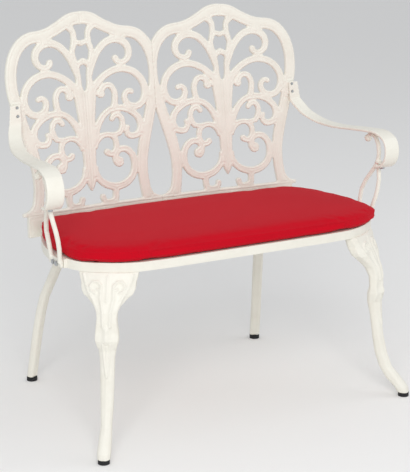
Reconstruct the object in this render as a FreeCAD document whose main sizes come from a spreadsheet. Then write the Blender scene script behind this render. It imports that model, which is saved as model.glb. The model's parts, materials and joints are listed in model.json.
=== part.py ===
import FreeCAD, Part
import math
import os

# Two-seat garden bench of cast aluminium: one pierced scrollwork back, one pierced
# seat, ribbon arms on rod brackets, cabriole front legs, slim curved rear legs and
# a loose seat cushion. Millimetres, +Z up, the sitter faces -Y. The origin lies on
# the floor, midway between the front and rear feet.

SIZES = [
    ("panel_pitch", 369.0, "distance between the centres of the two back panels"),
    ("pattern_rise", 444.0, "from the rail's top edge to the crest of the back"),
    ("recline", 7.4, "lean of the back, degrees"),
    ("back_bow", 24.9, "how far the back's ends stand forward of its middle"),
    ("back_thick", 11.4, "thickness of the back's scrollwork"),
    ("back_setback", 195.5, "the back's foot behind the middle of the footprint"),
    ("rail_thick", 13.0, "thickness of the upright bottom rail"),
    ("rail_drop", 55.0, "height of the bottom rail"),
    ("rail_tuck", 21.0, "how far the rail reaches below the seat's top"),
    ("seat_height", 400.0, "top of the seat casting above the floor"),
    ("seat_depth", 397.7, "from the seat's front edge to the middle of its rear edge"),
    ("rim_depth", 20.0, "height of the seat's rim"),
    ("rim_wall", 7.0, "wall of the rim"),
    ("plate_thick", 6.0, "thickness of the pierced seat plate"),
    ("lattice_pitch", 50.0, "spacing of the holes in the seat plate"),
    ("lattice_hole", 34.0, "side of one square hole"),
    ("rib_thick", 6.0, "thickness of a rib under the seat plate"),
    ("joint_gap", 0.3, "clearance between castings that face each other"),
    ("knee_turn", 35.0, "plan angle of the front leg, degrees"),
    ("front_splay", 120.0, "front foot outside the knee, along the leg's plane"),
    ("plug_height", 9.0, "visible height of a foot plug"),
    ("plug_radius", 12.5, "radius of a foot plug"),
    ("plug_spigot", 5.0, "radius of the plug's spigot"),
    ("rear_leg_width", 25.0, "wide side of a rear leg"),
    ("rear_leg_thick", 18.0, "thin side of a rear leg"),
    ("rear_pad", 8.0, "thickness of the pad on top of a rear leg"),
    ("arm_rise", 196.0, "the arm's crest above the seat"),
    ("arm_thick", 6.0, "thickness of the arm ribbon"),
    ("rod_radius", 5.5, "radius of a bracket rod"),
    ("ball_radius", 9.0, "radius of the bracket's end ball"),
    ("foot_plate", 7.0, "thickness of the bracket's foot plate"),
    ("cushion_thick", 36.0, "cushion at its crown"),
    ("cushion_edge", 27.0, "cushion at its edge"),
    ("cushion_inset", 2.0, "the cushion's seams inside the seat's edge"),
    ("cushion_gap", 0.3, "clearance below the cushion"),
    ("leg_bolt_radius", 4.0, "radius of a leg bolt"),
    ("leg_bolt_flats", 13.0, "across the flats of a leg bolt's head"),
    ("leg_bolt_head", 5.3, "height of a leg bolt's head"),
    ("leg_recess", 8.5, "radius of the recess around a leg bolt's head"),
    ("bolt_radius", 3.0, "radius of the other bolts and screws"),
    ("bolt_play", 0.3, "radial clearance of a bolt in its hole"),
    ("bolt_flats", 10.0, "across the flats of a bolt's head or nut"),
    ("bolt_head", 4.0, "height of a bolt's head"),
    ("nut_height", 5.0, "height of a nut"),
]

doc = FreeCAD.newDocument("garden_bench")
sheet = doc.addObject("Spreadsheet::Sheet", "Sizes")
for row, (alias, value, note) in enumerate(SIZES, start=1):
    sheet.set("A%d" % row, alias)
    sheet.set("B%d" % row, str(value))
    sheet.set("C%d" % row, note)
    sheet.setAlias("B%d" % row, alias)
doc.recompute()


def size(alias):
    """Value of one cell of the sheet."""
    return float(sheet.get(alias))


def vec(x, y, z):
    return FreeCAD.Vector(x, y, z)


def bound(type_name, name, **properties):
    """Adds an object whose properties are expressions over the sheet."""
    item = doc.addObject(type_name, name)
    for prop, text in properties.items():
        item.setExpression(prop, text)
    return item


def carry(name, shape):
    """Adds a shape that part of the script worked out from the sheet."""
    item = doc.addObject("Part::Feature", name)
    item.Shape = shape
    return item


def join(name, pieces):
    """Fuses document objects into one."""
    item = doc.addObject("Part::MultiFuse", name)
    item.Shapes = pieces
    item.Refine = True
    return item


def take_away(name, base, tool):
    item = doc.addObject("Part::Cut", name)
    item.Base = base
    item.Tool = tool
    item.Refine = True
    return item


def overlap(name, base, tool):
    item = doc.addObject("Part::Common", name)
    item.Base = base
    item.Tool = tool
    item.Refine = True
    return item


def mirrored(name, source):
    """Left hand copy of a right hand piece."""
    item = doc.addObject("Part::Mirroring", name)
    item.Source = source
    item.Normal = vec(1, 0, 0)
    return item


def node(item, label):
    item.Label = label
    NODES.append(item)
    return item


NODES = []

# Places that several pieces share. SIDE moves everything at the bench's ends with
# the panel pitch; the patterns below are drawn for a pitch of 369 and a rise of 444.
PATTERN_PITCH = 369.0
PATTERN_RISE = 444.0
SIDE = size("panel_pitch") - PATTERN_PITCH
HALF_PITCH = size("panel_pitch") / 2
JOINT_LAP = 0.6
STRETCH_X = size("panel_pitch") / PATTERN_PITCH
STRETCH_Z = size("pattern_rise") / PATTERN_RISE
BACK_RADIUS = (size("panel_pitch") ** 2 + size("back_bow") ** 2) / (2 * size("back_bow"))
SEAT_TOP = size("seat_height")
SEAT_UNDER = SEAT_TOP - size("rim_depth")
RAIL_UNDER = SEAT_TOP - size("rail_tuck")
RAIL_TOP = RAIL_UNDER + size("rail_drop")
RAIL_Y = size("back_setback") - 8.0
RAIL_HALF = 356.0 + SIDE
SEAT_REAR_Y = RAIL_Y - size("rail_thick") / 2 - size("joint_gap")
LEAN = math.tan(math.radians(size("recline")))


def bow(x):
    """How far the back's curve stands forward at x."""
    return BACK_RADIUS - math.sqrt(BACK_RADIUS ** 2 - x ** 2)


def edge_run(points):
    """Arcs through every second point of a run of points."""
    edges = []
    for first, middle, last in zip(points[0:-2:2], points[1:-1:2], points[2::2]):
        chord = last - first
        off_line = (middle - first).cross(chord).Length
        if off_line < 1e-3 * chord.Length ** 2:
            edges.append(Part.LineSegment(first, last).toShape())
        else:
            edges.append(Part.Arc(first, middle, last).toShape())
    return edges


def band_points(path, lead=None):
    """Both edges of a band, from its centre points and their widths."""
    centres = [vec(x, 0, z) for x, z, width in path]
    widths = [width for x, z, width in path]
    chords = [(b - a).Length for a, b in zip(centres, centres[1:])]
    slopes = [(b - a) / chord for a, b, chord in zip(centres, centres[1:], chords)]
    heads = [slopes[0]]
    for before, after, chord_in, chord_out in zip(slopes, slopes[1:], chords, chords[1:]):
        heads.append((before * chord_out + after * chord_in) / (chord_in + chord_out))
    heads.append(slopes[-1] * 2 - heads[-1])
    heads[0] = slopes[0] * 2 - heads[1] if lead is None else vec(*lead)
    if len(centres) % 2 == 0:
        bulge = (heads[-2] - heads[-1]) * (chords[-1] / 8)
        centres.insert(-1, (centres[-2] + centres[-1]) / 2 + bulge)
        heads.insert(-1, slopes[-1] * 1.5 - (heads[-2] + heads[-1]) / 4)
        widths.insert(-1, (widths[-2] + widths[-1]) / 2)
    left, right = [], []
    for place, head, width in zip(centres, heads, widths):
        side = vec(-head.z, 0, head.x).normalize() * (width / 2)
        left.append(place + side)
        right.append(place - side)
    return left, right, heads[-1].normalize()


def band(path, lead=None, tip=False):
    """Face of a band with arc edges; tip rounds its far end."""
    left, right, head = band_points(path, lead)
    edges = edge_run(right)
    if tip:
        nose = (left[-1] + right[-1]) / 2 + head * ((left[-1] - right[-1]).Length / 2)
        edges.append(Part.Arc(right[-1], nose, left[-1]).toShape())
    else:
        edges.append(Part.LineSegment(right[-1], left[-1]).toShape())
    edges += edge_run(left[::-1])
    edges.append(Part.LineSegment(left[0], right[0]).toShape())
    return Part.Face(Part.Wire(edges))


def stroke(path, lead=None, tip=False):
    """Band of the back's pattern, its centre line stretched to the sizes."""
    return band([(x * STRETCH_X, z * STRETCH_Z, width) for x, z, width in path], lead, tip)


def outline(points):
    """Face inside a closed run of pattern points, arcs through every second one."""
    corners = [vec(x * STRETCH_X, 0, z * STRETCH_Z) for x, z in points]
    return Part.Face(Part.Wire(edge_run(corners + corners[:1])))


def disc(x, z, radius):
    circle = Part.Circle(vec(x * STRETCH_X, 0, z * STRETCH_Z), vec(0, -1, 0), radius)
    return Part.Face(Part.Wire([circle.toShape()]))


def merged(faces):
    """One flat face over several that overlap."""
    return faces[0].multiFuse(faces[1:]).removeSplitter()


# Moulded outer frame: crest, shoulder, straight side, waist and splayed foot.
FRAME = [
    (-2, 429, 29.5), (22, 427, 29.5), (42, 418.5, 28.5), (62, 408, 27.5), (82, 399, 27),
    (102, 393.5, 27), (122, 391.3, 27), (141, 386.5, 27), (157, 376.5, 27),
    (170, 361.5, 27), (179.5, 343, 27), (185.5, 321, 27), (187.5, 298, 27),
    (186, 273, 27), (181, 248, 27), (174.5, 223, 27), (167.5, 198, 27), (160, 173, 27),
    (152.5, 148, 27), (145.5, 123, 28), (140.5, 98, 26.5), (138.5, 73, 25.5),
    (139, 48, 25), (142.5, 23, 26), (148, -3, 28),
]
FRAME_FOOT = [
    (150, 38), (150, 15), (150, -5), (167, -5), (185, -5), (185, -2), (185, 1),
    (181, 1), (177, 2), (166, 7), (158, 17), (153, 26),
]
# Fluted stem, from the drop at its foot to the place where it divides.
STEM = [
    (-1, 29.5), (5, 38), (8.5, 45), (11.5, 53), (13, 60), (15, 70), (15.5, 85),
    (15.8, 100), (16.5, 118), (17.5, 138), (18.2, 155), (19, 170), (20.5, 190),
    (23, 212), (26, 235), (28, 250), (28, 262), (14, 263), (-1, 263), (-1, 150),
]
STRAND = [
    (14, 258, 26), (14.5, 272, 17), (14.3, 288, 13.5), (15, 303, 13), (17, 316, 12.5),
    (20.5, 330, 12), (23.5, 344, 11.5), (24.5, 357, 11.5), (22, 367, 12),
    (15, 373.3, 12), (7, 373.6, 12), (-2, 369, 13),
]
ARCH = [(-1, 330, 16), (8, 327, 13), (14, 318, 9)]
STRUT = [
    (23, 359, 12), (19.5, 374, 13), (18.3, 387, 13.5), (20.5, 399, 14),
    (28, 408, 17), (38, 415, 18),
]
TOP_ARC = [
    (15, 297, 14), (20.5, 314, 16), (29, 333, 17), (40, 350, 17), (54, 364, 17),
    (70, 373, 17.5), (86, 375.7, 18), (101, 373, 18), (114, 364.5, 17.5),
    (121.7, 351.5, 17), (121.7, 338.5, 16), (115.5, 328, 14.5), (106, 322.5, 13.5),
    (96, 322.3, 13.5), (88.5, 326, 14), (85.8, 332.5, 15),
]
SECOND_ARC = [
    (12, 250, 20), (26, 270, 18), (40, 284, 16.5), (55, 294.5, 16.5), (70, 301.8, 16.5),
    (85, 306, 17), (100, 306.8, 17), (115, 304.3, 17), (130, 298.3, 17),
    (143.5, 288, 17), (153.5, 274.5, 17), (158.5, 260, 17), (158.5, 246, 17),
    (154, 232.5, 16.5), (145, 222, 16.5), (132, 217.3, 16.5), (118, 219.3, 16),
    (107.5, 227, 15), (103.2, 238, 14), (105.5, 248.5, 13), (113.5, 254.5, 12.5),
    (122, 252, 12.5),
]
SIDE_HOOK = [
    (71, 216, 15), (76, 230, 14.5), (78, 243, 14), (76.5, 256.5, 14), (70, 267.5, 14),
    (59, 271.5, 14), (48.5, 267, 14), (42.5, 258.5, 15),
]
SIDE_HOOK_BALL = (41, 252.5, 10)
THIRD_ARC = [
    (16, 148, 20), (22, 168, 18), (30, 184, 16), (40, 198, 15.5), (52, 208.5, 15),
    (66, 215, 15), (80, 217, 15), (95, 215.5, 15.5), (110, 210.5, 15.5),
    (124, 202, 15.5), (135.5, 190.5, 16), (140.5, 176.5, 16), (139.5, 163, 16),
    (131.5, 152.5, 16), (119, 149, 16), (107.5, 152, 15), (102.5, 161, 13),
    (104.5, 170, 12),
]
INNER_HOOK = [
    (80, 156, 13), (87.5, 164, 13), (92, 174.5, 13), (92.7, 185.5, 13), (89, 195.5, 13),
    (80.5, 200.8, 13), (71, 198.8, 12.5), (65.5, 192.5, 12.5),
]
FOURTH_ARC = [
    (13, 128, 18), (20, 143, 16), (32, 153.5, 14), (46, 157.3, 13.5), (60, 155.2, 13.5),
    (69.5, 147, 13.5), (72.5, 135, 13), (71, 122.5, 13.5), (63.5, 113, 14),
    (53.5, 112, 14), (47, 117, 15.5),
]
ARC_BRIDGE = [(60, 156, 12), (74, 156.5, 12), (86, 160, 11)]
RING = [
    (13, 88, 14), (14, 70, 15), (22, 55, 16), (35, 44, 17), (51, 37.3, 18),
    (68, 35, 18), (85, 38, 18), (100, 46, 17.5), (111, 57.5, 16.5), (116.5, 73, 16),
    (117, 90, 16), (112.5, 105, 16), (103, 116, 16), (90, 121.2, 15.5),
    (78, 119, 15), (70, 110.5, 14.5), (68, 100, 16), (72.5, 92, 19),
]
RING_BALL = (76, 91.5, 12.5)
FOOT_STRUT = [(62, 36, 15), (62.3, 18, 15.5), (60, 4, 17), (45, 1.5, 12), (32, 4, 12), (27.5, 14, 14)]
RAIL_TOP_BAND = [(-1, -4, 8), (92, -4, 8), (185, -4, 8)]


def half_panel(free_side):
    """Face of half a panel; free_side keeps the frame whole, else it is cut at the joint."""
    faces = [stroke(FRAME, lead=(1, 0, 0)), outline(FRAME_FOOT), outline(STEM)]
    faces += [stroke(STRAND), stroke(ARCH, lead=(1, 0, 0)), stroke(STRUT)]
    faces += [stroke(TOP_ARC, tip=True), stroke(SECOND_ARC, tip=True), stroke(SIDE_HOOK, tip=True)]
    faces += [stroke(THIRD_ARC, tip=True), stroke(INNER_HOOK, tip=True)]
    faces += [stroke(FOURTH_ARC, tip=True), stroke(ARC_BRIDGE), stroke(RING, tip=True)]
    faces += [stroke(FOOT_STRUT, tip=True), stroke(RAIL_TOP_BAND, lead=(1, 0, 0))]
    faces += [disc(*SIDE_HOOK_BALL), disc(*RING_BALL)]
    reach = 230 * STRETCH_X if free_side else HALF_PITCH + JOINT_LAP
    window = Part.makePlane(reach + JOINT_LAP, 700, vec(-JOINT_LAP, 0, -12), vec(0, -1, 0),
                            vec(1, 0, 0))
    return merged(faces).common(window)


def tilted(point, angle):
    return FreeCAD.Placement(point, FreeCAD.Rotation(vec(1, 0, 0), angle))


def curved_wall(name, thick_cell, place):
    """Wall bowed to the back's radius, with its thickness from one cell."""
    radius = "(Sizes.panel_pitch ^ 2 + Sizes.back_bow ^ 2) / (2 * Sizes.back_bow)"
    shells = []
    for suffix, sign in (("Outer", "+"), ("Inner", "-")):
        shell = bound("Part::Cylinder", name + suffix,
                      Radius="%s %s Sizes.%s / 2" % (radius, sign, thick_cell))
        shell.Height = 640
        shell.Placement = place
        shells.append(shell)
    return take_away(name, shells[0], shells[1])


def cylinder(name, radius, height, base, axis):
    """Round bar whose radius and height are expressions, from base along axis."""
    item = bound("Part::Cylinder", name, Radius=radius, Height=height)
    item.Placement = FreeCAD.Placement(base, FreeCAD.Rotation(vec(0, 0, 1), axis))
    return item


def block(name, length, width, height, corner):
    item = bound("Part::Box", name, Length=length, Width=width, Height=height)
    item.Placement.Base = corner
    return item


def group(name, items):
    item = doc.addObject("Part::Compound", name)
    item.Links = items
    return item


def mirror_x(point):
    return vec(-point.x, point.y, point.z)


# Back casting.
def back_plate(name, face, near, far, side):
    """Thickens a half panel standing on the back's curve between two stations."""
    fall = math.degrees(math.atan2(bow(far) - bow(near), far - near))
    outer = far > HALF_PITCH
    copy = face.copy() if outer else face.mirror(vec(HALF_PITCH / 2, 0, 0), vec(1, 0, 0))
    if side < 0:
        copy = copy.mirror(vec(0, 0, 0), vec(1, 0, 0))
    turn = FreeCAD.Rotation(vec(1, 0, 0), -size("recline")).multiply(
        FreeCAD.Rotation(vec(0, 0, 1), -side * fall))
    flat = carry(name + "Pattern", copy)
    flat.Placement = FreeCAD.Placement(vec(side * near, RAIL_Y - bow(near), RAIL_TOP), turn)
    bar = doc.addObject("Part::Extrusion", name)
    bar.Base = flat
    bar.DirMode = "Custom"
    bar.Dir = turn.multVec(vec(0, 1, 0))
    bar.setExpression("LengthFwd", "Sizes.back_thick / 2")
    bar.setExpression("LengthRev", "Sizes.back_thick / 2")
    bar.Solid = True
    return bar


whole_half = half_panel(True)
cut_half = half_panel(False)
plates = []
for side, hand in ((-1, "Right"), (1, "Left")):
    plates.append(back_plate("Inner" + hand, cut_half, 0, HALF_PITCH, side))
    plates.append(back_plate("Outer" + hand, whole_half, HALF_PITCH, 2 * HALF_PITCH, side))
lean_axis = vec(0, math.sin(math.radians(size("recline"))), math.cos(math.radians(size("recline"))))
rail_wall = curved_wall("RailWall", "rail_thick", tilted(vec(0, RAIL_Y - BACK_RADIUS, 0), 0))
rail_bar = block("RailBar", str(2 * RAIL_HALF), "90", "Sizes.rail_drop",
                 vec(-RAIL_HALF, RAIL_Y - 70, RAIL_UNDER))
rail = overlap("Rail", rail_bar, rail_wall)

# Flat seats: two behind the rail for each pair of bolts, one block for each arm's lug.
RAIL_BOLT_X = [100.0 + SIDE * 0.3, 200.0 + SIDE * 0.5]
RAIL_BOLT_Z = SEAT_UNDER + 7.0
rail_bolts = [(sign * x, bow(x)) for x in RAIL_BOLT_X for sign in (-1, 1)]
rail_seats = []
for index, (x, inward) in enumerate(rail_bolts):
    rail_seats.append(cylinder("RailSeat%d" % index, "8.5", "Sizes.rail_thick / 2 + 2",
                               vec(x, RAIL_Y - inward, RAIL_BOLT_Z), vec(0, 1, 0)))
LUG_X = 366.0 + SIDE
LUG_Z = SEAT_TOP + 263.0
LUG_HALF = 17.0
surface_y = RAIL_Y + (LUG_Z - RAIL_TOP) * LEAN
lug_front = surface_y - bow(LUG_X + 11) - size("back_thick") / 2 - 0.4
lug_rear = surface_y - bow(LUG_X - 11) + size("back_thick") / 2 + 0.4
lug_thick = (lug_rear - lug_front) * math.cos(math.radians(size("recline")))
lug_blocks = []
for sign in (-1, 1):
    pad = block("LugBlock%d" % (sign + 1), "21", str(lug_thick), str(2 * LUG_HALF), vec(0, 0, 0))
    turn = FreeCAD.Rotation(vec(1, 0, 0), -size("recline"))
    middle = vec(sign * (LUG_X - 1), (lug_front + lug_rear) / 2, LUG_Z)
    half = vec(10.5, lug_thick / 2, LUG_HALF)
    pad.Placement = FreeCAD.Placement(middle - turn.multVec(half), turn)
    lug_blocks.append(pad)
back_body = join("BackBody", plates + [rail] + rail_seats + lug_blocks)

LUG_AXIS = FreeCAD.Rotation(vec(1, 0, 0), -size("recline")).multVec(vec(0, 1, 0))
lug_bolts = []
for sign in (-1, 1):
    for rise in (-9.5, 9.5):
        lug_bolts.append(vec(sign * LUG_X, lug_rear, LUG_Z) + lean_axis * rise)
bolt_hole = "Sizes.bolt_radius + Sizes.bolt_play"
back_bores = []
for index, (x, inward) in enumerate(rail_bolts):
    back_bores.append(cylinder("RailBore%d" % index, bolt_hole, "60",
                               vec(x, RAIL_Y - inward - 30, RAIL_BOLT_Z), vec(0, 1, 0)))
for index, spot in enumerate(lug_bolts):
    back_bores.append(cylinder("LugBore%d" % index, bolt_hole, "40",
                               spot - LUG_AXIS * 30, LUG_AXIS))
back = take_away("Back", back_body, join("BackBores", back_bores))
back_body.Refine = False
back.Refine = False
node(back, "back_casting")

# Seat casting.
DEPTH_SCALE = size("seat_depth") / 397.7


def seat_y(y):
    """Plan position drawn for a seat 397.7 deep, moved to the sheet's depth."""
    return SEAT_REAR_Y - (181.2 - y) * DEPTH_SCALE


# Half of the seat's outline from the middle of its front edge to its rear corner.
SEAT_EDGE = [
    (0, -216.5), (70, -216.5), (140, -216.5), (206, -215.5), (264, -212), (306, -196.5),
    (342, -173.5), (361, -159.5), (375, -143), (385, -118), (390.5, -90), (393.3, -52),
    (390.5, -14), (378.5, 36), (362, 80.5), (345, 115), (327, 147), (316, 158.5),
]


def inset_run(points, inset):
    """Moves a run of plan points sideways, to the left of its heading."""
    moved = []
    for index, (x, y) in enumerate(points):
        before = points[max(index - 1, 0)]
        after = points[min(index + 1, len(points) - 1)]
        heading = vec(after[0] - before[0], after[1] - before[1], 0).normalize()
        shift = 0.0 if x == 0 else inset
        rise = inset if x == 0 else inset * heading.x
        moved.append((x - heading.y * shift, y + rise))
    return moved


def seat_wire(inset, height, rear_inset=None):
    """Closed outline of the seat, set in from its edge, at one height."""
    rear_inset = inset if rear_inset is None else rear_inset
    run = [(x + SIDE if x > 100 else x, seat_y(y)) for x, y in inset_run(SEAT_EDGE, inset)]
    corner_x = 300 + SIDE - inset
    run.append((corner_x, SEAT_REAR_Y - rear_inset - bow(corner_x)))
    run.append((0, SEAT_REAR_Y - rear_inset))
    run += [(-x, y) for x, y in run[-2:0:-1]]
    corners = [vec(x, y, height) for x, y in run]
    return Part.Wire(edge_run(corners + corners[:1]))


def plate(name, wire, thickness):
    """Solid of a flat outline, thickness upwards from it."""
    item = doc.addObject("Part::Extrusion", name)
    item.Base = carry(name + "Outline", Part.Face(wire))
    item.DirMode = "Custom"
    item.Dir = vec(0, 0, 1)
    item.setExpression("LengthFwd", thickness)
    item.Solid = True
    return item


seat_blank = plate("SeatBlank", seat_wire(0, SEAT_UNDER), "Sizes.rim_depth")
pocket = plate("SeatPocket", seat_wire(size("rim_wall"), SEAT_UNDER),
               "Sizes.rim_depth - Sizes.plate_thick")

# Front legs meet the seat's corners at the knee; rear legs stand under the rear edge.
TURN = math.radians(size("knee_turn"))
OUTWARD = vec(math.sin(TURN), -math.cos(TURN), 0)
ACROSS = vec(math.cos(TURN), math.sin(TURN), 0)
KNEE = vec(320.2 + SIDE, seat_y(-170.2), 0)
REAR_TOP = vec(258 + SIDE, SEAT_REAR_Y - bow(258 + SIDE) - 19, 0)
front_bolt_spots = []
for sign in (-1, 1):
    for across in (-25, 25):
        spot = KNEE + ACROSS * across + vec(0, 0, SEAT_TOP)
        front_bolt_spots.append(vec(sign * spot.x, spot.y, spot.z))
rear_bolt_spots = []
for sign in (-1, 1):
    for along in (-17.5, 17.5):
        rear_bolt_spots.append(vec(sign * (REAR_TOP.x + along), REAR_TOP.y, SEAT_TOP))

under_height = "Sizes.rim_depth - Sizes.plate_thick"
under_parts = []
for index, spot in enumerate((KNEE, mirror_x(KNEE))):
    under_parts.append(cylinder("KneeBoss%d" % index, "58", under_height,
                                vec(spot.x, spot.y, SEAT_UNDER), vec(0, 0, 1)))
for index, spot in enumerate((REAR_TOP, mirror_x(REAR_TOP))):
    under_parts.append(block("RearBoss%d" % index, "62", "46", under_height,
                             vec(spot.x - 31, spot.y - 20, SEAT_UNDER)))
for index, x in enumerate((-150, 0, 150)):
    under_parts.append(block("LongRib%d" % index, "Sizes.rib_thick", "480", under_height,
                             vec(x - size("rib_thick") / 2, -260, SEAT_UNDER)))
under_parts.append(block("CrossRib", "840", "Sizes.rib_thick", under_height,
                         vec(-420, seat_y(-20), SEAT_UNDER)))
SIDE_BOLT_Y = [-91.0, -75.0]
PLATE_X = 395.5 + SIDE
for index, (x, inward) in enumerate(rail_bolts):
    under_parts.append(cylinder("RimSeat%d" % index, "6.8", "Sizes.rim_wall + 9",
                                vec(x, SEAT_REAR_Y - inward, RAIL_BOLT_Z), vec(0, -1, 0)))
for sign in (-1, 1):
    under_parts.append(block("SideBoss%d" % (sign + 1), "18", "56", under_height,
                             vec(sign * (PLATE_X - 18) - 9, -107, SEAT_UNDER)))
pocket_tool = take_away("PocketTool", pocket, join("UnderParts", under_parts))
seat_shell = take_away("SeatShell", seat_blank, pocket_tool)
side_pads = []
for sign in (-1, 1):
    side_pads.append(block("SidePad%d" % (sign + 1), "12", "60", "Sizes.rim_depth - 1",
                           vec(sign * (PLATE_X - size("joint_gap") - 6) - 6, -109, SEAT_UNDER + 0.5)))
seat_body = join("SeatBody", [seat_shell] + side_pads)


def in_field(x, y):
    """True where a lattice hole clears the rim, the ribs and the bosses."""
    reach = size("lattice_hole") * 0.71
    if abs(x) > 372 + SIDE - reach or y < seat_y(-200) + reach:
        return False
    if y > SEAT_REAR_Y - bow(x) - 22 - reach:
        return False
    for spot in (KNEE, mirror_x(KNEE)):
        if (vec(x, y, 0) - spot).Length < 60 + reach * 0.8:
            return False
    for spot in (REAR_TOP, mirror_x(REAR_TOP)):
        if abs(x - spot.x) < 31 + reach and abs(y - spot.y) < 24 + reach:
            return False
    if abs(x) > 352 + SIDE - reach and (y > seat_y(60) - reach or y < -108):
        return False
    return abs(y - seat_y(-17)) > reach + 3


holes = []
pitch = size("lattice_pitch")
for column in range(-7, 8):
    for line in range(-5, 5):
        x = column * pitch
        y = seat_y(-17) + (line + 0.5) * pitch * 1.12
        if min(abs(x - rib) for rib in (-150, 0, 150)) > 3 + size("lattice_hole") * 0.2 and in_field(x, y):
            hole = block("Hole%d_%d" % (column + 7, line + 5), "Sizes.lattice_hole",
                         "Sizes.lattice_hole", "Sizes.plate_thick + 2",
                         vec(0, 0, SEAT_TOP - size("plate_thick") - 1))
            diamond = FreeCAD.Rotation(vec(0, 0, 1), 45)
            corner = diamond.multVec(vec(size("lattice_hole") / 2, size("lattice_hole") / 2, 0))
            hole.Placement.Rotation = diamond
            hole.Placement.Base = vec(x, y, SEAT_TOP - size("plate_thick") - 1) - corner
            holes.append(hole)
print("lattice holes", len(holes))

seat_bores = list(holes)
leg_bolt_hole = "Sizes.leg_bolt_radius + Sizes.bolt_play"
recess_depth = "Sizes.leg_bolt_head + 1"
RECESS = size("leg_bolt_head") + 1
for index, spot in enumerate(front_bolt_spots + rear_bolt_spots):
    seat_bores.append(cylinder("LegBore%d" % index, leg_bolt_hole, "60",
                               spot - vec(0, 0, 40), vec(0, 0, 1)))
    seat_bores.append(cylinder("LegRecess%d" % index, "Sizes.leg_recess",
                               recess_depth + " + 5", spot - vec(0, 0, RECESS), vec(0, 0, 1)))
for index, (x, inward) in enumerate(rail_bolts):
    seat_bores.append(cylinder("RimBore%d" % index, bolt_hole, "60",
                               vec(x, SEAT_REAR_Y - inward + 10, RAIL_BOLT_Z), vec(0, -1, 0)))
SIDE_BOLT_Z = (SEAT_UNDER + SEAT_TOP) / 2 - 2
side_bolts = []
for sign in (-1, 1):
    for y in SIDE_BOLT_Y:
        side_bolts.append((sign, vec(sign * (PLATE_X + size("foot_plate")), y, SIDE_BOLT_Z)))
for index, (sign, spot) in enumerate(side_bolts):
    seat_bores.append(cylinder("SideBore%d" % index, bolt_hole, "40",
                               spot + vec(sign * 10, 0, 0), vec(-sign, 0, 0)))
seat = take_away("Seat", seat_body, join("SeatBores", seat_bores))
node(seat, "seat_casting")

# Front legs.
# Height, outer and inner edge of the leg in its own plane, and its width across;
# heights drawn for an underside at 380, edges outward from the foot's centre.
FRONT_LEG = [
    (9, 13, -13, 27), (22, 10.5, -22, 30), (40, -4, -43, 27), (67, -30, -61, 22),
    (99, -43, -72, 25), (140, -53, -79, 27), (185, -60, -85, 28), (222, -62.5, -93, 29),
    (244, -57, -92, 44), (260, -62, -87, 46), (282, -61, -90, 43), (303, -65, -102, 41),
    (330, -78, -126, 52), (358, -92, -139, 84), (380, -101, -142, 112),
]
FOOT = KNEE + OUTWARD * size("front_splay")
LEG_SCALE = SEAT_UNDER / 380.0


def leg_section(row):
    """Horizontal section of a front leg: a rounded twelve-sided outline."""
    height, outer, inner, width = row
    reach = size("front_splay") / 120.0
    half_r, half_t = (outer - inner) / 2, width / 2
    middle = FOOT + OUTWARD * ((outer + inner) / 2 * reach)
    middle.z = height * LEG_SCALE if height > 9 else size("plug_height")
    quarter = [(1.0, 0.22), (0.86, 0.66), (0.42, 0.96)]
    turns = [(a, b) for a, b in quarter] + [(-a, b) for a, b in quarter[::-1]]
    turns += [(-a, -b) for a, b in quarter] + [(a, -b) for a, b in quarter[::-1]]
    corners = [middle + OUTWARD * (r * half_r) + ACROSS * (t * half_t) for r, t in turns]
    return Part.makePolygon(corners + corners[:1])


front_shell = doc.addObject("Part::Loft", "FrontLegLoft")
front_shell.Sections = [carry("LegSection%02d" % index, leg_section(row))
                        for index, row in enumerate(FRONT_LEG)]
front_shell.Solid = True
front_shell.Ruled = True
front_cuts = []
for index, spot in enumerate(front_bolt_spots[2:]):
    front_cuts.append(cylinder("FrontLegBore%d" % index, leg_bolt_hole, "34",
                               vec(spot.x, spot.y, SEAT_UNDER + 2), vec(0, 0, -1)))
front_cuts.append(cylinder("FrontSpigotBore", "Sizes.plug_spigot + Sizes.bolt_play", "13",
                           vec(FOOT.x, FOOT.y, size("plug_height") - 1), vec(0, 0, 1)))
front_left = take_away("FrontLeg", front_shell, join("FrontLegBores", front_cuts))
node(front_left, "leg_front_left")
node(mirrored("FrontLegCopy", front_left), "leg_front_right")

# Rear legs.
# Centre line from the floor up, as offsets from its top; heights for 380.
REAR_LEG = [
    (57.6, 114.7, 9), (53.9, 104.7, 60), (50.9, 97.4, 100), (47.4, 89.9, 140),
    (43.2, 81.3, 180), (37.7, 70.2, 220), (28, 52.7, 260), (18.4, 35.2, 300),
    (8.5, 15.5, 345), (0, 0, 380),
]
rear_points = []
for x, y, z in REAR_LEG:
    height = z * LEG_SCALE if z > 9 else size("plug_height")
    rear_points.append(REAR_TOP + vec(x, y, height))
rear_plane = vec(57.6, 114.7, 0).normalize()
rear_across = vec(rear_plane.y, -rear_plane.x, 0)


def bar_section(index):
    """Bevelled section of a rear leg, square to its centre line but flat at the ends."""
    last = len(rear_points) - 1
    middle = rear_points[index]
    heading = rear_points[min(index + 1, last)] - rear_points[max(index - 1, 0)]
    heading.normalize()
    inward = heading.cross(rear_across).normalize()
    half_deep = size("rear_leg_thick") / 2
    if index in (0, last):
        inward = rear_plane * -1
        half_deep = half_deep * (1.0 if index == 0 else 1.12)
    half_wide = size("rear_leg_width") / 2
    bevel = 4.0
    spots = [(half_wide - bevel, half_deep), (half_wide, half_deep - bevel),
             (half_wide, bevel - half_deep), (half_wide - bevel, -half_deep),
             (bevel - half_wide, -half_deep), (-half_wide, bevel - half_deep),
             (-half_wide, half_deep - bevel), (bevel - half_wide, half_deep)]
    corners = [middle + rear_across * a + inward * b for a, b in spots]
    return Part.makePolygon(corners + corners[:1])


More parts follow.
